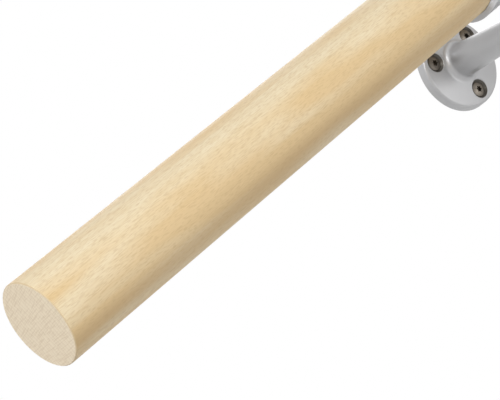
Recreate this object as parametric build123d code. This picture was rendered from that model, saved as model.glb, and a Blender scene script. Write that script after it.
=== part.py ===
from build123d import *
import os
from math import sqrt

# A round wooden wall handrail, carried by two cast aluminium brackets.
# Sizes are in millimetres. X runs along the rail, Y into the wall and Z up.
# The origin is the middle of the left rosette's back, on the face of the wall.

# Rail
rail_d = 42.0
rail_length = 1500.0
rail_arris = 0.4
end_overhang = 343.0
hand_gap = 50.0

# Rosette of the bracket
rim_height = 5.4
rim_draft = 0.7
rim_round = 1.5
rim_margin = 2.8
face_crown = 1.5
screw_circle_d = 36.4
screw_count = 3
lowest_screw_angle = -90.0

# Arm of the bracket
arm_root_d = 20.0
arm_neck_d = 14.8
arm_lift = 0.7
foot_fillet = 3.6
elbow_radius = 14.0
collar_flare = 3.0
collar_edge = 1.0

# Saddle plate under the rail
plate_length = 64.0
plate_width = 28.0
plate_thickness = 3.0
plate_corner = 7.0
rail_screw_pitch = 44.0

# Raised countersunk wood screws in the wall
wall_head_d = 8.2
wall_head_dome = 0.8
wall_neck_d = 3.3
wall_shank_d = 4.5
wall_screw_length = 50.0
wall_screw_point = 6.5
wall_screw_sink = 1.4
wall_recess_across = 3.86
wall_recess_depth = 2.2

# Raised countersunk wood screws in the rail
rail_head_d = 8.4
rail_head_dome = 0.6
rail_neck_d = 3.3
rail_neck_length = 3.5
rail_shank_d = 4.5
rail_screw_length = 20.0
rail_screw_point = 5.0
rail_screw_sink = 0.5
rail_recess_across = 3.86
rail_recess_depth = 2.0

# Countersunk machine screw between the plate and the arm
bolt_head_d = 11.4
bolt_shank_d = 6.0
bolt_length = 12.0
bolt_sink = 0.1
bolt_chamfer = 0.5
socket_across_flats = 4.0
socket_depth = 1.8

# Shared fits
seat_gap = 0.15
shank_clearance = 0.25
head_clearance = 0.1
head_edge = 0.2
hole_end_clearance = 1.0
driver_clearance = 5.0
recess_core_share = 0.75
recess_lobe_share = 0.26

# Radii and places that follow from the sizes above
rail_r = rail_d / 2
arm_root_r = arm_root_d / 2
arm_neck_r = arm_neck_d / 2
screw_circle_r = screw_circle_d / 2
countersink_r = wall_head_d / 2 + head_clearance + head_edge + wall_screw_sink
rosette_r = screw_circle_r + countersink_r + rim_margin
face_r = rosette_r - rim_draft
crown_sphere_r = (face_r**2 + face_crown**2) / (2 * face_crown)
plate_inner_r = rail_r + seat_gap
plate_outer_r = plate_inner_r + plate_thickness
arm_seat_r = plate_outer_r + seat_gap
collar_r = arm_neck_r + collar_flare
elbow_end_z = arm_lift + elbow_radius
collar_top_z = elbow_end_z + collar_flare + collar_edge
rail_y = -(hand_gap + rail_r)
rail_z = collar_top_z + arm_seat_r
rail_start_x = -end_overhang
bracket_spacing = rail_length - 2 * end_overhang


def along_x(radius, length):
    """A round bar on the rail's axis, centred on the bracket."""
    return Pos(0, rail_y, rail_z) * Rot(0, 90, 0) * Cylinder(radius, length)


def crown_height(radius):
    """How far the domed face stands above its rim at a radius."""
    flat_part = crown_sphere_r - face_crown
    return sqrt(crown_sphere_r**2 - radius**2) - flat_part


def wall_screw_stand():
    """How far the edge of a wall screw's head stands off the wall."""
    return rim_height + crown_height(screw_circle_r) - wall_screw_sink


def wall_screw_places():
    """Each wall screw's head, on the screw circle, facing out of the wall."""
    seat_y = -wall_screw_stand()
    step = 360 / screw_count
    places = []
    for index in range(screw_count):
        turn = Rot(0, -(lowest_screw_angle + index * step), 0)
        places.append(turn * Pos(screw_circle_r, seat_y, 0) * Rot(90, 0, 0))
    return places


def rail_screw_places():
    """Each rail screw's head, under the plate, facing down."""
    seat_z = rail_z - plate_outer_r + rail_screw_sink
    half_pitch = rail_screw_pitch / 2
    return [Pos(x, rail_y, seat_z) * Rot(180, 0, 0) for x in (-half_pitch, half_pitch)]


def bolt_place():
    """The machine screw's head, in the plate, facing up at the rail."""
    return Pos(0, rail_y, rail_z - plate_inner_r - bolt_sink)


def screw_hole(head_d, shank_d, length):
    """The bore, countersink and driver's way in for a screw that points down from z = 0."""
    bore_r = shank_d / 2 + shank_clearance
    bore_end = -length - hole_end_clearance
    sink_r = head_d / 2 + head_clearance + head_edge
    mouth_rise = max(wall_screw_sink, rail_screw_sink)
    mouth_r = sink_r + mouth_rise
    outline = Polyline(
        (0, bore_end),
        (bore_r, bore_end),
        (bore_r, bore_r - sink_r),
        (mouth_r, mouth_rise),
        (mouth_r, mouth_rise + driver_clearance),
        (0, mouth_rise + driver_clearance),
        close=True,
    )
    return revolve(make_face(Plane.XZ * outline), Axis.Z)


def wood_screw(head_d, dome, neck_d, neck_length, shank_d, length, point):
    """A raised countersunk screw that points down, its head's edge at z = 0.

    The plain neck under the head is thinner than the thread, which starts at neck_length.
    """
    head_r = head_d / 2
    neck_r = neck_d / 2
    shank_r = shank_d / 2
    crown = TangentArc((0, dome), (head_r, 0), tangent=(1, 0))
    side = Polyline(
        (head_r, 0),
        (head_r, -head_edge),
        (neck_r, -head_edge - (head_r - neck_r)),
        (neck_r, (shank_r - neck_r) - neck_length),
        (shank_r, -neck_length),
        (shank_r, point - length),
        (0, -length),
        (0, dome),
    )
    return revolve(make_face(Plane.XZ * (crown + side)), Axis.Z)


def star_recess(across, depth, top_z):
    """The six-lobed socket that a driver's tip goes into, this far across its lobes."""
    lobe_r = across * recess_lobe_share / 2
    star = Circle(across * recess_core_share / 2)
    for place in PolarLocations(across / 2 - lobe_r, 6):
        star += place * Circle(lobe_r)
    return extrude(Pos(0, 0, top_z) * star, amount=-depth)


def machine_screw():
    """A flat countersunk screw with a hexagon socket, its head's top at z = 0."""
    head_r = bolt_head_d / 2
    shank_r = bolt_shank_d / 2
    side = Polyline(
        (0, 0),
        (head_r, 0),
        (head_r, -head_edge),
        (shank_r, -head_edge - (head_r - shank_r)),
        (shank_r, bolt_chamfer - bolt_length),
        (shank_r - bolt_chamfer, -bolt_length),
        (0, -bolt_length),
        close=True,
    )
    body = revolve(make_face(Plane.XZ * side), Axis.Z)
    hexagon = RegularPolygon(socket_across_flats / 2, 6, major_radius=False)
    return body - extrude(hexagon, amount=-socket_depth)


def rosette():
    """The round foot on the wall: a drafted rim and a slightly domed face."""
    crown = TangentArc((0, -(rim_height + face_crown)), (face_r, -rim_height), tangent=(1, 0))
    side = Polyline(
        (face_r, -rim_height),
        (rosette_r, 0),
        (0, 0),
        (0, -(rim_height + face_crown)),
    )
    disc = revolve(make_face(crown + side), Axis.Y)
    face_edge = disc.edges().filter_by(Plane.XZ).sort_by(Axis.Y)[0]
    return Rot(0, -90, 0) * fillet(face_edge, min(rim_round, rim_height / 2))


def arm():
    """The tapered arm, its elbow and the collar that the saddle plate lies on."""
    straight_length = -rail_y - elbow_radius - rim_height
    straight = Rot(0, -90, 0) * Rot(90, 0, 0) * Cone(arm_root_r, arm_neck_r, straight_length)
    straight = Pos(0, -rim_height - straight_length / 2, arm_lift) * straight
    elbow_y = rail_y + elbow_radius
    neck = Pos(0, elbow_y, arm_lift) * Rot(90, 0, 0) * Circle(arm_neck_r)
    elbow = revolve(neck, Axis((0, elbow_y, elbow_end_z), (-1, 0, 0)), 90)
    blank_top = collar_flare + collar_edge + plate_outer_r
    flare = TangentArc((arm_neck_r, 0), (collar_r, collar_flare), tangent=(0, 1))
    side = Polyline(
        (collar_r, collar_flare),
        (collar_r, blank_top),
        (0, blank_top),
        (0, 0),
        (arm_neck_r, 0),
    )
    collar = revolve(make_face(Plane.XZ * (flare + side)), Axis.Z)
    collar = Pos(0, rail_y, elbow_end_z) * collar
    return straight + elbow + (collar - along_x(arm_seat_r, plate_length))


def wall_bracket():
    """The whole casting, bored for its three wall screws and the machine screw."""
    body = rosette() + arm()
    foot_edges = body.edges().filter_by(is_foot_edge)
    body = fillet(foot_edges, foot_fillet)
    for place in wall_screw_places():
        body -= place * screw_hole(wall_head_d, wall_shank_d, wall_screw_length)
    return body - bolt_place() * screw_hole(bolt_head_d, bolt_shank_d, bolt_length)


def is_foot_edge(edge):
    """True on the line where the arm leaves the rosette's face."""
    box = edge.bounding_box()
    near_face = -rim_height > box.max.Y and box.min.Y > -(rim_height + 2 * face_crown)
    return edge.is_closed and near_face and box.size.X < screw_circle_d


def saddle_plate():
    """The plate rolled to the rail's curve, with rounded corners and three holes."""
    outline = RectangleRounded(plate_length, plate_width, plate_corner)
    blank = Pos(0, rail_y, rail_z - plate_outer_r) * extrude(outline, amount=plate_outer_r)
    shell = along_x(plate_outer_r, plate_length) - along_x(plate_inner_r, plate_length)
    plate = shell & blank
    plate -= bolt_place() * screw_hole(bolt_head_d, bolt_shank_d, bolt_length)
    for place in rail_screw_places():
        plate -= place * screw_hole(rail_head_d, rail_shank_d, rail_screw_length)
    return plate


def wall_screws():
    """The three screws of one rosette, their threads starting at the face of the wall."""
    screw = wood_screw(
        wall_head_d,
        wall_head_dome,
        wall_neck_d,
        wall_screw_stand(),
        wall_shank_d,
        wall_screw_length,
        wall_screw_point,
    )
    screw -= star_recess(wall_recess_across, wall_recess_depth, wall_head_dome)
    return Compound([place * screw for place in wall_screw_places()])


def rail_screws():
    """The two screws that go up through one plate into the rail."""
    screw = wood_screw(
        rail_head_d,
        rail_head_dome,
        rail_neck_d,
        rail_neck_length,
        rail_shank_d,
        rail_screw_length,
        rail_screw_point,
    )
    screw -= star_recess(rail_recess_across, rail_recess_depth, rail_head_dome)
    return Compound([place * screw for place in rail_screw_places()])


def handrail_bar():
    """The turned rail, sawn square, with a hole for each screw that enters it."""
    bar = Rot(0, 90, 0) * Cylinder(rail_r, rail_length)
    bar = chamfer(bar.edges().filter_by(GeomType.CIRCLE), rail_arris)
    bar = Pos(rail_start_x + rail_length / 2, rail_y, rail_z) * bar
    for bracket_x in (0, bracket_spacing):
        for place in rail_screw_places():
            hole = screw_hole(rail_head_d, rail_shank_d, rail_screw_length)
            bar -= Pos(bracket_x, 0, 0) * place * hole
    return bar


def write_node(name, shape):
    """Write one node's file."""
    shape.label = name
    export_step(shape, os.path.join("parts", name + ".step"))


os.makedirs("parts", exist_ok=True)
write_node("handrail_bar", handrail_bar())
bracket_pieces = {
    "wall_bracket": wall_bracket(),
    "saddle_plate": saddle_plate(),
    "saddle_bolt": bolt_place() * machine_screw(),
    "rail_screws": rail_screws(),
    "wall_screws": wall_screws(),
}
for side, bracket_x in (("left", 0), ("right", bracket_spacing)):
    for piece, shape in bracket_pieces.items():
        write_node(side + "_" + piece, Pos(bracket_x, 0, 0) * shape)
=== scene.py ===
import bpy
import math
from mathutils import Matrix, Vector


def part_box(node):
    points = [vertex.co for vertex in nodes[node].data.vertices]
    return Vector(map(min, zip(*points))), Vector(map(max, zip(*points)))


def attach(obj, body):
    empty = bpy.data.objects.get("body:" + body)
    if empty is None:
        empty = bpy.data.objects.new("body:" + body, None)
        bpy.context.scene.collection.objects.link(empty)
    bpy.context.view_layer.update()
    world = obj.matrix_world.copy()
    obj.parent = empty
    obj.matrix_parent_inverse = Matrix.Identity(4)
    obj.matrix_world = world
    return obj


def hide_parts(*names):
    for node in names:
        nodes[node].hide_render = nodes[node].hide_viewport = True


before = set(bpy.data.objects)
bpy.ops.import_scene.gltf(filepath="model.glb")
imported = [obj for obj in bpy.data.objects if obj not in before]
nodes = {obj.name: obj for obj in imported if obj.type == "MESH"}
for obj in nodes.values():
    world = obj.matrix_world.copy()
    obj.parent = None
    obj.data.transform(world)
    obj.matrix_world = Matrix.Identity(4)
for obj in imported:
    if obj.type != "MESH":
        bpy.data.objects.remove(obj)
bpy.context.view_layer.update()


# Wall brackets
# Two aluminium castings, each a round rosette with a tapered arm that turns up under the rail.
# They are fettled, shot-blasted and lacquered in silver, so they shine softly, with no grain.
lacquer_silver = "#C4C4C5"
lacquer_cloud = "#B8B8BA"
# The countersink cones are painted dark grey as shade in the screw holes.
cone_shade_grey = "#55514B"
# Real blast pits are about 0.1 mm across. They are drawn four times as wide, so that they show.
blast_pit_mm = 0.45
cloud_mm = 14.0
countersink_mm = 5.7
cone_edge_mm = 0.3
cone_end_mm = 0.5
screw_circle_mm = 18.2
screw_angles = (-90, 30, 150)
bracket_spacing_mm = 814.0


def linear(code):
    """A hex colour as screens show it, turned to the linear values that Blender takes."""
    parts = [int(code[place:place + 2], 16) / 255 for place in (1, 3, 5)]
    return [c / 12.92 if c <= 0.04045 else ((c + 0.055) / 1.055) ** 2.4 for c in parts] + [1.0]


def per_mm(size):
    """The scale of a pattern whose marks are this many millimetres across."""
    return 1000 / size


def add_node(owner, kind, inputs=None, **settings):
    """Add a node with its settings. Each input is a plain value or another node's output."""
    node = owner.node_tree.nodes.new(kind)
    for name, value in settings.items():
        setattr(node, name, value)
    for name, value in (inputs or {}).items():
        if isinstance(value, bpy.types.NodeSocket):
            owner.node_tree.links.new(value, node.inputs[name])
        else:
            node.inputs[name].default_value = value
    return node


def new_material(name):
    """An empty material with its output, and the object's own coordinates to pattern it by."""
    material = bpy.data.materials.new(name)
    material.use_nodes = True
    material.node_tree.nodes.clear()
    output = add_node(material, "ShaderNodeOutputMaterial")
    coordinates = add_node(material, "ShaderNodeTexCoord")
    return material, output, coordinates


def dress(names, material):
    """Give CAD nodes this material in place of the plain one."""
    for name in names:
        for slot in nodes[name].material_slots:
            slot.material = material


cast_aluminium, cast_output, cast_place = new_material("silver_lacquered_cast_aluminium")
clouds = add_node(
    cast_aluminium,
    "ShaderNodeTexNoise",
    {"Vector": cast_place.outputs["Object"], "Scale": per_mm(cloud_mm), "Detail": 3.0},
)
blast_pits = add_node(
    cast_aluminium,
    "ShaderNodeTexNoise",
    {"Vector": cast_place.outputs["Object"], "Scale": per_mm(blast_pit_mm), "Detail": 2.0},
)
lacquer_colour = add_node(
    cast_aluminium,
    "ShaderNodeMix",
    {0: clouds.outputs["Fac"], 6: linear(lacquer_silver), 7: linear(lacquer_cloud)},
    data_type="RGBA",
)
cast_parts = add_node(cast_aluminium, "ShaderNodeSeparateXYZ", {0: cast_place.outputs["Object"]})
own_x = add_node(
    cast_aluminium,
    "ShaderNodeMath",
    {
        0: cast_parts.outputs["X"],
        1: bracket_spacing_mm / 2000,
        2: -bracket_spacing_mm / 2000,
    },
    operation="WRAP",
)
on_face = add_node(
    cast_aluminium,
    "ShaderNodeCombineXYZ",
    {"X": own_x.outputs["Value"], "Z": cast_parts.outputs["Z"]},
)
# The cones end before the rosette's flat back, so the back counts as far from every screw.
on_back = add_node(
    cast_aluminium,
    "ShaderNodeMath",
    {0: cast_parts.outputs["Y"], 1: -cone_end_mm / 1000},
    operation="GREATER_THAN",
)
nearest = 1.0
for screw_angle in screw_angles:
    screw_turn = math.radians(screw_angle)
    screw_axis = (
        screw_circle_mm / 1000 * math.cos(screw_turn),
        0.0,
        screw_circle_mm / 1000 * math.sin(screw_turn),
    )
    from_screw = add_node(
        cast_aluminium,
        "ShaderNodeVectorMath",
        {0: on_face.outputs["Vector"], 1: screw_axis},
        operation="DISTANCE",
    )
    nearest = add_node(
        cast_aluminium,
        "ShaderNodeMath",
        {0: nearest, 1: from_screw.outputs["Value"]},
        operation="MINIMUM",
    ).outputs["Value"]
from_cones = add_node(
    cast_aluminium,
    "ShaderNodeMath",
    {0: nearest, 1: on_back.outputs["Value"]},
    operation="MAXIMUM",
)
in_cone = add_node(
    cast_aluminium,
    "ShaderNodeMapRange",
    {
        "Value": from_cones.outputs["Value"],
        "From Min": (countersink_mm - cone_edge_mm) / 1000,
        "From Max": countersink_mm / 1000,
        "To Min": 1.0,
        "To Max": 0.0,
    },
)
# The countersink cones take the dark grey, as painted shade in the screw holes.
cast_colour = add_node(
    cast_aluminium,
    "ShaderNodeMix",
    {
        0: in_cone.outputs["Result"],
        6: lacquer_colour.outputs[2],
        7: linear(cone_shade_grey),
    },
    data_type="RGBA",
)
lacquer_roughness = add_node(
    cast_aluminium,
    "ShaderNodeMapRange",
    {"Value": clouds.outputs["Fac"], "To Min": 0.36, "To Max": 0.44},
)
blast_bump = add_node(
    cast_aluminium,
    "ShaderNodeBump",
    {"Height": blast_pits.outputs["Fac"], "Strength": 0.12, "Distance": 0.0001},
)
cast_surface = add_node(
    cast_aluminium,
    "ShaderNodeBsdfPrincipled",
    {
        "Base Color": cast_colour.outputs[2],
        "Metallic": 0.55,
        "Roughness": lacquer_roughness.outputs["Result"],
        "Normal": blast_bump.outputs["Normal"],
    },
)
cast_aluminium.node_tree.links.new(cast_surface.outputs["BSDF"], cast_output.inputs["Surface"])
dress(
    ["left_wall_bracket", "right_wall_bracket", "left_saddle_plate", "right_saddle_plate"],
    cast_aluminium,
)


# Wall screws
# Three wood screws hold each rosette on the wall, sunk below its face, with raised heads.
# They are cold-formed steel with a rolled thread and a six-lobed socket, in dull zinc.
screw_zinc = "#8A837A"
zinc_shade = "#6C655D"
zinc_cloud_mm = 2.5
screw_length_mm = 50.0
head_rim_mm = 0.2
head_dome_mm = 0.8
head_radius_mm = 4.1
dome_land_mm = 2.3
dome_rings_mm = (2.9, 3.4, 3.8)
neck_radius_mm = 1.65
core_radius_mm = 1.45
thread_radius_mm = 2.25
thread_pitch_mm = 2.2
thread_turns = 20
thread_top_mm = 5.1
thread_shoulder_mm = 0.4
thread_foot_half_mm = 0.5
thread_crest_half_mm = 0.06
thread_steps = 24
point_tip_mm = 0.02
point_length_mm = 6.5
socket_radius_mm = 1.62
socket_lobe_mm = 0.31
socket_depth_mm = 2.2
socket_draft = 0.97
root_sunk_mm = 0.1
# The sides are a multiple of six, so that the socket's six lobes come out alike.
sides_round = 36

screw_steel, steel_output, steel_place = new_material("dull_zinc_plated_steel")
zinc_clouds = add_node(
    screw_steel,
    "ShaderNodeTexNoise",
    {"Vector": steel_place.outputs["Object"], "Scale": per_mm(zinc_cloud_mm), "Detail": 3.0},
)
zinc_colour = add_node(
    screw_steel,
    "ShaderNodeMix",
    {0: zinc_clouds.outputs["Fac"], 6: linear(screw_zinc), 7: linear(zinc_shade)},
    data_type="RGBA",
)
zinc_roughness = add_node(
    screw_steel,
    "ShaderNodeMapRange",
    {"Value": zinc_clouds.outputs["Fac"], "To Min": 0.32, "To Max": 0.48},
)
steel_surface = add_node(
    screw_steel,
    "ShaderNodeBsdfPrincipled",
    {
        "Base Color": zinc_colour.outputs[2],
        "Metallic": 1.0,
        "Roughness": zinc_roughness.outputs["Result"],
    },
)
screw_steel.node_tree.links.new(steel_surface.outputs["BSDF"], steel_output.inputs["Surface"])


def drop_selection():
    """Leave nothing selected, so that the next operator acts on its own piece alone."""
    bpy.ops.object.select_all(action="DESELECT")


def pull_loop(outline):
    """Extrude the selected loop through each radius and height in turn, in millimetres."""
    radius, height = outline[0]
    for next_radius, next_height in outline[1:]:
        bpy.ops.mesh.extrude_edges_move(
            TRANSFORM_OT_translate={"value": (0.0, 0.0, (next_height - height) / 1000)}
        )
        scale = next_radius / radius
        bpy.ops.transform.resize(value=(scale, scale, 1.0), center_override=(0.0, 0.0, 0.0))
        radius, height = next_radius, next_height


def dome_at(radius_mm):
    """The height of the domed head over its edge at a radius, in millimetres."""
    return head_dome_mm * (1 - (radius_mm / head_radius_mm) ** 2)


def screw_body():
    """The head, its socket, the neck, the core and the point, as one closed shell."""
    drop_selection()
    bpy.ops.mesh.primitive_circle_add(
        vertices=sides_round, radius=dome_land_mm / 1000, location=(0.0, 0.0, 0.0)
    )
    body = bpy.context.object
    for vertex in body.data.vertices:
        vertex.co.z = dome_at(dome_land_mm) / 1000
    bpy.ops.object.mode_set(mode="EDIT")
    bpy.ops.mesh.select_all(action="SELECT")
    dome_radii = (dome_land_mm, *dome_rings_mm, head_radius_mm)
    dome = [(radius, dome_at(radius)) for radius in dome_radii]
    cone_end = -head_rim_mm - (head_radius_mm - neck_radius_mm)
    pull_loop(
        dome
        + [
            (head_radius_mm, -head_rim_mm),
            (neck_radius_mm, cone_end),
            (neck_radius_mm, -thread_top_mm),
            (core_radius_mm, -thread_top_mm - thread_shoulder_mm),
            (core_radius_mm, point_length_mm - screw_length_mm),
            (point_tip_mm, -screw_length_mm),
        ]
    )
    bpy.ops.mesh.edge_face_add()
    bpy.ops.mesh.select_mode(type="VERT")
    bpy.ops.mesh.select_all(action="DESELECT")
    bpy.ops.object.mode_set(mode="OBJECT")
    for vertex in body.data.vertices:
        vertex.select = vertex.index < sides_round
    bpy.ops.object.mode_set(mode="EDIT")
    socket_mouth = (socket_radius_mm, dome_at(socket_radius_mm))
    pull_loop([(dome_land_mm, dome_at(dome_land_mm)), socket_mouth])
    bpy.ops.object.mode_set(mode="OBJECT")
    for vertex in body.data.vertices:
        if vertex.select:
            turn = math.atan2(vertex.co.y, vertex.co.x)
            reach = (socket_radius_mm + socket_lobe_mm * math.cos(6 * turn)) / socket_radius_mm
            vertex.co.x *= reach
            vertex.co.y *= reach
    bpy.ops.object.mode_set(mode="EDIT")
    socket_floor = (socket_radius_mm * socket_draft, head_dome_mm - socket_depth_mm)
    pull_loop([socket_mouth, socket_floor])
    bpy.ops.mesh.edge_face_add()
    bpy.ops.mesh.select_all(action="SELECT")
    bpy.ops.mesh.normals_make_consistent(inside=False)
    bpy.ops.object.mode_set(mode="OBJECT")
    return body


def core_at(height_mm):
    """The radius of the screw's core at a height below its head, in millimetres."""
    return core_radius_mm * min(1.0, max(0.0, screw_length_mm + height_mm) / point_length_mm)


def screw_thread():
    """The rolled ridge, wound by a screw modifier, running out at the neck and at the point."""
    drop_selection()
    bpy.ops.mesh.primitive_plane_add(size=1.0, location=(0.0, 0.0, 0.0))
    ridge = bpy.context.object
    root = (core_radius_mm - root_sunk_mm) / 1000
    crest = thread_radius_mm / 1000
    start = -(thread_top_mm + thread_turns * thread_pitch_mm) / 1000
    corners = (
        (root, -thread_foot_half_mm),
        (root, thread_foot_half_mm),
        (crest, -thread_crest_half_mm),
        (crest, thread_crest_half_mm),
    )
    for vertex, (reach, rise) in zip(ridge.data.vertices, corners):
        vertex.co = (reach, 0.0, start + rise / 1000)
    winding = ridge.modifiers.new("winding", "SCREW")
    winding.axis = "Z"
    winding.angle = math.tau
    winding.screw_offset = thread_pitch_mm / 1000
    winding.iterations = thread_turns
    winding.steps = winding.render_steps = thread_steps
    winding.use_normal_calculate = True
    # The profile is swept as a wire, so its own face goes first.
    bpy.ops.object.mode_set(mode="EDIT")
    bpy.ops.mesh.select_all(action="SELECT")
    bpy.ops.mesh.delete(type="ONLY_FACE")
    bpy.ops.object.mode_set(mode="OBJECT")
    bpy.ops.object.modifier_apply(modifier="winding")
    # The ridge sinks into the core at both its ends, and follows the core down to the point.
    for vertex in ridge.data.vertices:
        height = vertex.co.z * 1000
        reach = math.hypot(vertex.co.x, vertex.co.y) * 1000
        core = core_at(height)
        run_out = min(
            1.0,
            max(0.0, -thread_top_mm - height) / thread_pitch_mm,
            max(0.0, screw_length_mm + height) / point_length_mm,
        )
        rise = (reach - core_radius_mm) * run_out if reach > core_radius_mm else -root_sunk_mm
        rise = max(rise, -0.8 * core)
        factor = (core + rise) / reach
        vertex.co.x *= factor
        vertex.co.y *= factor
    bpy.ops.object.mode_set(mode="EDIT")
    bpy.ops.mesh.select_all(action="DESELECT")
    bpy.ops.mesh.select_non_manifold()
    bpy.ops.mesh.fill_holes(sides=4)
    bpy.ops.mesh.select_all(action="SELECT")
    bpy.ops.mesh.normals_make_consistent(inside=False)
    bpy.ops.object.mode_set(mode="OBJECT")
    return ridge


first_screw = screw_body()
first_thread = screw_thread()
bpy.context.view_layer.objects.active = first_screw
weld = first_screw.modifiers.new("weld", "BOOLEAN")
weld.operation = "UNION"
weld.object = first_thread
bpy.ops.object.modifier_apply(modifier="weld")
bpy.data.objects.remove(first_thread)

for side in ("left_", "right_"):
    bracket_low, bracket_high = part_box(side + "wall_bracket")
    screws_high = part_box(side + "wall_screws")[1]
    bracket_x = (bracket_low.x + bracket_high.x) / 2
    seat_y = screws_high.y - screw_length_mm / 1000
    drop_selection()
    for screw_angle in screw_angles:
        screw_turn = math.radians(screw_angle)
        screw_copy = bpy.data.objects.new(side + "wall_screw_set", first_screw.data.copy())
        bpy.context.scene.collection.objects.link(screw_copy)
        on_circle = Vector(
            (
                bracket_x + screw_circle_mm / 1000 * math.cos(screw_turn),
                seat_y,
                screw_circle_mm / 1000 * math.sin(screw_turn),
            )
        )
        screw_copy.data.transform(
            Matrix.Translation(on_circle)
            @ Matrix.Rotation(-screw_turn, 4, "Y")
            @ Matrix.Rotation(math.radians(90), 4, "X")
        )
        screw_copy.select_set(True)
    bpy.context.view_layer.objects.active = screw_copy
    bpy.ops.object.join()
    screw_set = bpy.context.object
    screw_set.name = side + "wall_screw_set"
    screw_set.data.materials.append(screw_steel)
    bpy.ops.object.shade_smooth_by_angle(angle=math.radians(35))
    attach(screw_set, "root")
    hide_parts(side + "wall_screws")
bpy.data.objects.remove(first_screw)


# Rail screws and saddle bolts
# Two wood screws go up through each plate into the rail, and a socket screw holds the plate.
# They are of the same dull zinc-plated steel as the wall screws.
dress(
    [side + piece for side in ("left_", "right_") for piece in ("rail_screws", "saddle_bolt")],
    screw_steel,
)


# Rail
# One length of beech, turned round and sawn square, fine sanded and sealed with a clear matt oil.
# Its growth rings run nearly upright, so its front is flat-sawn and its top is quarter-sawn.
pale_beech = "#F0E0BF"
honey_beech = "#E5C898"
ring_brown = "#D9BC8A"
fleck_and_shade_brown = "#C8A778"
sawn_end_beech = "#F1E2C9"
sawn_end_brown = "#D3BD9F"
sawn_edge_beech = "#D2BC97"
pith_offset_mm = 160.0
pith_drop_mm = 30.0
ring_spacing_mm = 2.3
ring_wander_mm = 3.0
# The pale streak is a painted sheen along the rail, partly paler wood.
sheen_and_pale_streak_rise_mm = 14.5
sheen_and_pale_streak_half_mm = 8.0
sheen_and_pale_streak_share = 0.24
# The brown streak is painted shade along the rail's lower front.
shade_streak_rise_mm = -14.0
shade_streak_half_mm = 6.5

beech, beech_output, beech_place = new_material("clear_oiled_beech")
rail_low, rail_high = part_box("handrail_bar")
rail_centre = (rail_low + rail_high) / 2
pith = (
    0.0,
    rail_centre.y + pith_offset_mm / 1000,
    rail_centre.z - pith_drop_mm / 1000,
)
from_pith = add_node(
    beech,
    "ShaderNodeVectorMath",
    {0: beech_place.outputs["Object"], 1: pith},
    operation="SUBTRACT",
)
pith_parts = add_node(beech, "ShaderNodeSeparateXYZ", {0: from_pith.outputs["Vector"]})
across = add_node(
    beech, "ShaderNodeCombineXYZ", {"Y": pith_parts.outputs["Y"], "Z": pith_parts.outputs["Z"]}
)
radius = add_node(beech, "ShaderNodeVectorMath", {0: across.outputs["Vector"]}, operation="LENGTH")
angle = add_node(
    beech,
    "ShaderNodeMath",
    {0: pith_parts.outputs["Z"], 1: pith_parts.outputs["Y"]},
    operation="ARCTAN2",
)
around = add_node(
    beech,
    "ShaderNodeMath",
    {0: angle.outputs["Value"], 1: pith_offset_mm / 1000},
    operation="MULTIPLY",
)
tree_place = add_node(
    beech,
    "ShaderNodeCombineXYZ",
    {
        "X": pith_parts.outputs["X"],
        "Y": radius.outputs["Value"],
        "Z": around.outputs["Value"],
    },
)


# Each mark is noise, stretched to its own length along the trunk, out from the pith and round it.
marks = {}
for mark, along_mm, radial_mm, around_mm, detail in (
    ("honey patches", 75, 8, 9, 1.0),
    ("ring wander", 260, 18, 30, 2.0),
    ("end wander", 90, 5, 11, 2.0),
    # Real fibres and vessels are a tenth of a millimetre wide. They are drawn four times as wide.
    ("fibre", 6, 0.4, 0.4, 0.0),
    ("rays", 2.8, 5, 0.34, 0.0),
):
    stretched = add_node(
        beech,
        "ShaderNodeMapping",
        {
            "Vector": tree_place.outputs["Vector"],
            "Scale": (per_mm(along_mm), per_mm(radial_mm), per_mm(around_mm)),
        },
        label=mark,
    )
    marks[mark] = add_node(
        beech,
        "ShaderNodeTexNoise",
        {"Vector": stretched.outputs["Vector"], "Scale": 1.0, "Detail": detail},
        label=mark,
    ).outputs["Fac"]

for mark, wander in (("side rings", "ring wander"), ("end rings", "end wander")):
    wander_offset = add_node(
        beech,
        "ShaderNodeMath",
        {0: marks[wander], 1: ring_wander_mm / 1000, 2: radius.outputs["Value"]},
        operation="MULTIPLY_ADD",
    )
    ring_count = add_node(
        beech,
        "ShaderNodeMath",
        {0: wander_offset.outputs["Value"], 1: ring_spacing_mm / 1000},
        operation="DIVIDE",
    )
    marks[mark] = add_node(
        beech, "ShaderNodeMath", {0: ring_count.outputs["Value"]}, operation="FRACT"
    ).outputs["Value"]

# Two streaks run the whole length: painted sheen, partly paler wood, above the front, and painted
# shade below it.
for mark, rise_mm, half_mm in (
    ("sheen and pale streak", sheen_and_pale_streak_rise_mm, sheen_and_pale_streak_half_mm),
    ("painted shade streak", shade_streak_rise_mm, shade_streak_half_mm),
):
    rise = rail_centre.z + rise_mm / 1000 - pith[2]
    over_streak = add_node(
        beech, "ShaderNodeMath", {0: pith_parts.outputs["Z"], 1: rise}, operation="SUBTRACT"
    )
    off_streak = add_node(
        beech, "ShaderNodeMath", {0: over_streak.outputs["Value"]}, operation="ABSOLUTE"
    )
    marks[mark] = add_node(
        beech,
        "ShaderNodeMapRange",
        {
            "Value": off_streak.outputs["Value"],
            "From Max": half_mm / 1000,
            "To Min": 1.0,
            "To Max": 0.0,
        },
        interpolation_type="SMOOTHSTEP",
        label=mark,
    ).outputs["Result"]
# Along the pale streak the honey colour is taken away, so the wood there is lighter: a painted
# sheen, partly paler wood.
marks["honey"] = add_node(
    beech,
    "ShaderNodeMath",
    {0: marks["sheen and pale streak"], 1: -sheen_and_pale_streak_share, 2: marks["honey patches"]},
    operation="MULTIPLY_ADD",
).outputs["Value"]

facing = add_node(beech, "ShaderNodeSeparateXYZ", {0: beech_place.outputs["Normal"]})
marks["end face"] = add_node(
    beech, "ShaderNodeMath", {0: facing.outputs["X"]}, operation="ABSOLUTE"
).outputs["Value"]

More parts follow.
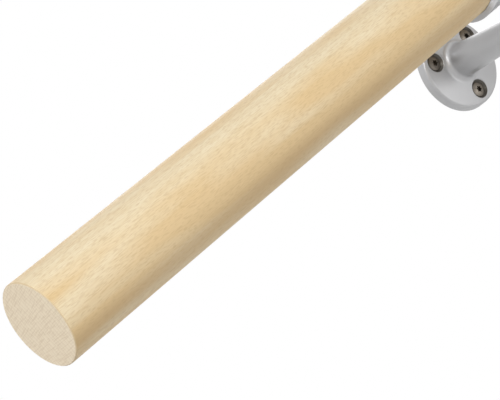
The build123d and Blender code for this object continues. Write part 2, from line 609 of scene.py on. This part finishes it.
# Each layer lies on the last, where its mark is between two levels, and covers it up to a share.
end_colour = linear(sawn_end_beech)
for mark, low, high, share, colour in (
    ("end rings", 0.25, 1.0, 0.3, sawn_end_brown),
    ("rays", 0.5, 0.68, 0.4, sawn_end_brown),
):
    cover = add_node(
        beech,
        "ShaderNodeMapRange",
        {"Value": marks[mark], "From Min": low, "From Max": high, "To Max": share},
        label=mark,
    )
    end_colour = add_node(
        beech,
        "ShaderNodeMix",
        {0: cover.outputs["Result"], 6: end_colour, 7: linear(colour)},
        data_type="RGBA",
    ).outputs[2]

beech_colour = linear(pale_beech)
for mark, low, high, share, colour in (
    ("honey", 0.24, 0.58, 1.0, linear(honey_beech)),
    ("side rings", 0.3, 1.0, 0.2, linear(ring_brown)),
    # Painted shade: a band along the lower front is darkened toward brown.
    ("painted shade streak", 0.0, 1.0, 0.55, linear(fleck_and_shade_brown)),
    ("fibre", 0.4, 0.75, 0.34, linear(ring_brown)),
    ("rays", 0.52, 0.72, 0.32, linear(fleck_and_shade_brown)),
    ("end face", 0.3, 0.5, 1.0, linear(sawn_edge_beech)),
    ("end face", 0.85, 0.95, 1.0, end_colour),
):
    cover = add_node(
        beech,
        "ShaderNodeMapRange",
        {"Value": marks[mark], "From Min": low, "From Max": high, "To Max": share},
        label=mark,
    )
    beech_colour = add_node(
        beech,
        "ShaderNodeMix",
        {0: cover.outputs["Result"], 6: beech_colour, 7: colour},
        data_type="RGBA",
    ).outputs[2]

beech_roughness = add_node(
    beech,
    "ShaderNodeMapRange",
    {"Value": cover.outputs["Result"], "To Min": 0.5, "To Max": 0.75},
)
beech_bump = add_node(
    beech,
    "ShaderNodeBump",
    {"Height": marks["fibre"], "Strength": 0.15, "Distance": 0.0001},
)
beech_surface = add_node(
    beech,
    "ShaderNodeBsdfPrincipled",
    {
        "Base Color": beech_colour,
        "Roughness": beech_roughness.outputs["Result"],
        "Normal": beech_bump.outputs["Normal"],
    },
)
beech.node_tree.links.new(beech_surface.outputs["BSDF"], beech_output.inputs["Surface"])
dress(["handrail_bar"], beech)


# Wall, floor and light
# A white wall behind the brackets and a pale floor, which keeps the shadow, with white all round.
# The light is five soft panels. The strongest stands beside the camera and above it.
sky_fill_strength = 0.25
floor_glow_share = 0.75
floor_drop = 1.4
wall_gap = 0.0003


def seen_rays(owner):
    """The rays that show the white background: from the camera, off metal and through glass."""
    ray = add_node(owner, "ShaderNodeLightPath")
    seen = ray.outputs["Is Camera Ray"]
    for kind_of_ray in ("Is Glossy Ray", "Is Transmission Ray"):
        seen = add_node(
            owner,
            "ShaderNodeMath",
            {0: seen, 1: ray.outputs[kind_of_ray]},
            operation="MAXIMUM",
        ).outputs["Value"]
    return seen


def stage_plane(name, size, place, turn=(0.0, 0.0, 0.0)):
    """A flat sheet of the room, which isn't part of the handrail."""
    drop_selection()
    bpy.ops.mesh.primitive_plane_add(size=size, location=place, rotation=turn)
    plane = bpy.context.object
    plane.name = name
    return plane


floor = stage_plane("floor", 40.0, (0.4, 0.0, -floor_drop))
floor_paint, floor_output = new_material("pale_floor_paint")[:2]
floor_surface = add_node(
    floor_paint,
    "ShaderNodeBsdfPrincipled",
    {"Base Color": linear("#E9E9E7"), "Roughness": 0.8},
)
floor_white = add_node(floor_paint, "ShaderNodeEmission", {"Strength": 1.0})
floor_share = add_node(
    floor_paint,
    "ShaderNodeMath",
    {0: seen_rays(floor_paint), 1: floor_glow_share},
    operation="MULTIPLY",
)
floor_mix = add_node(
    floor_paint,
    "ShaderNodeMixShader",
    {
        0: floor_share.outputs["Value"],
        1: floor_surface.outputs["BSDF"],
        2: floor_white.outputs["Emission"],
    },
)
floor_paint.node_tree.links.new(floor_mix.outputs["Shader"], floor_output.inputs["Surface"])
floor.data.materials.append(floor_paint)

# The photograph's wall lights nothing on the bracket, so only the camera sees this one, and only
# from the room. Reflections pass through it, and meet the same white in the sky.
wall = stage_plane("wall", 2.4, (0.407, wall_gap, 0.0), (math.radians(90), 0.0, 0.0))
wall_paint, wall_output = new_material("white_wall_paint")[:2]
wall_ray = add_node(wall_paint, "ShaderNodeLightPath")
side_of_wall = add_node(wall_paint, "ShaderNodeNewGeometry")
wall_shown = add_node(
    wall_paint,
    "ShaderNodeMath",
    {0: wall_ray.outputs["Is Camera Ray"], 1: side_of_wall.outputs["Backfacing"]},
    operation="SUBTRACT",
    use_clamp=True,
)
wall_clear = add_node(wall_paint, "ShaderNodeBsdfTransparent")
wall_white = add_node(wall_paint, "ShaderNodeEmission", {"Strength": 1.0})
wall_mix = add_node(
    wall_paint,
    "ShaderNodeMixShader",
    {
        0: wall_shown.outputs["Value"],
        1: wall_clear.outputs["BSDF"],
        2: wall_white.outputs["Emission"],
    },
)
wall_paint.node_tree.links.new(wall_mix.outputs["Shader"], wall_output.inputs["Surface"])
wall.data.materials.append(wall_paint)

sky = bpy.data.worlds.new("studio_sky")
sky.use_nodes = True
sky.node_tree.nodes.clear()
bpy.context.scene.world = sky
sky_output = add_node(sky, "ShaderNodeOutputWorld")
sky_fill = add_node(
    sky, "ShaderNodeBackground", {"Color": linear("#FFFFFF"), "Strength": sky_fill_strength}
)
sky_white = add_node(sky, "ShaderNodeBackground", {"Color": linear("#FFFFFF"), "Strength": 1.0})
sky_mix = add_node(
    sky,
    "ShaderNodeMixShader",
    {0: seen_rays(sky), 1: sky_fill.outputs[0], 2: sky_white.outputs[0]},
)
sky.node_tree.links.new(sky_mix.outputs["Shader"], sky_output.inputs["Surface"])

panel_aim = Vector((0.0, -0.07, 0.04))
panel_distance = 2.6
for name, azimuth, elevation, size, power, shines in (
    ("key_panel", -45, 35, 1.6, 47, True),
    ("low_panel", 20, -12, 1.2, 9, True),
    ("front_panel", 0, -2, 1.6, 5.5, False),
    ("side_panel", -80, 10, 1.6, 11, False),
    ("back_panel", 140, 15, 1.6, 14, True),
):
    side_turn, up_turn = math.radians(azimuth), math.radians(elevation)
    away = Vector(
        (
            math.sin(side_turn) * math.cos(up_turn),
            -math.cos(side_turn) * math.cos(up_turn),
            math.sin(up_turn),
        )
    )
    lamp = bpy.data.lights.new(name, "AREA")
    lamp.size = size
    lamp.energy = power
    panel = bpy.data.objects.new(name, lamp)
    panel.location = panel_aim + away * panel_distance
    panel.rotation_euler = away.to_track_quat("Z", "Y").to_euler()
    panel.visible_glossy = shines
    panel.visible_camera = False
    bpy.context.scene.collection.objects.link(panel)

# Camera
# It stands left of the near end and a little above it, and leans over, as in the photograph.
# Its place and its three axes are those that fit the rail's edges and its round end there.
camera = bpy.data.objects.new("camera", bpy.data.cameras.new("camera"))
camera.data.lens = 126.36
camera.data.sensor_width = 36.0
right_hand = Vector((0.62176, -0.51490, -0.59016))
upward = Vector((0.52871, -0.27999, 0.80129))
backward = Vector((-0.57783, -0.81024, 0.09815))
camera.matrix_world = Matrix.Translation((-0.68048, -0.71807, 0.10410)) @ Matrix(
    (right_hand, upward, backward)
).transposed().to_4x4()
bpy.context.scene.collection.objects.link(camera)
bpy.context.scene.camera = camera
bpy.context.scene.view_settings.view_transform = "Standard"
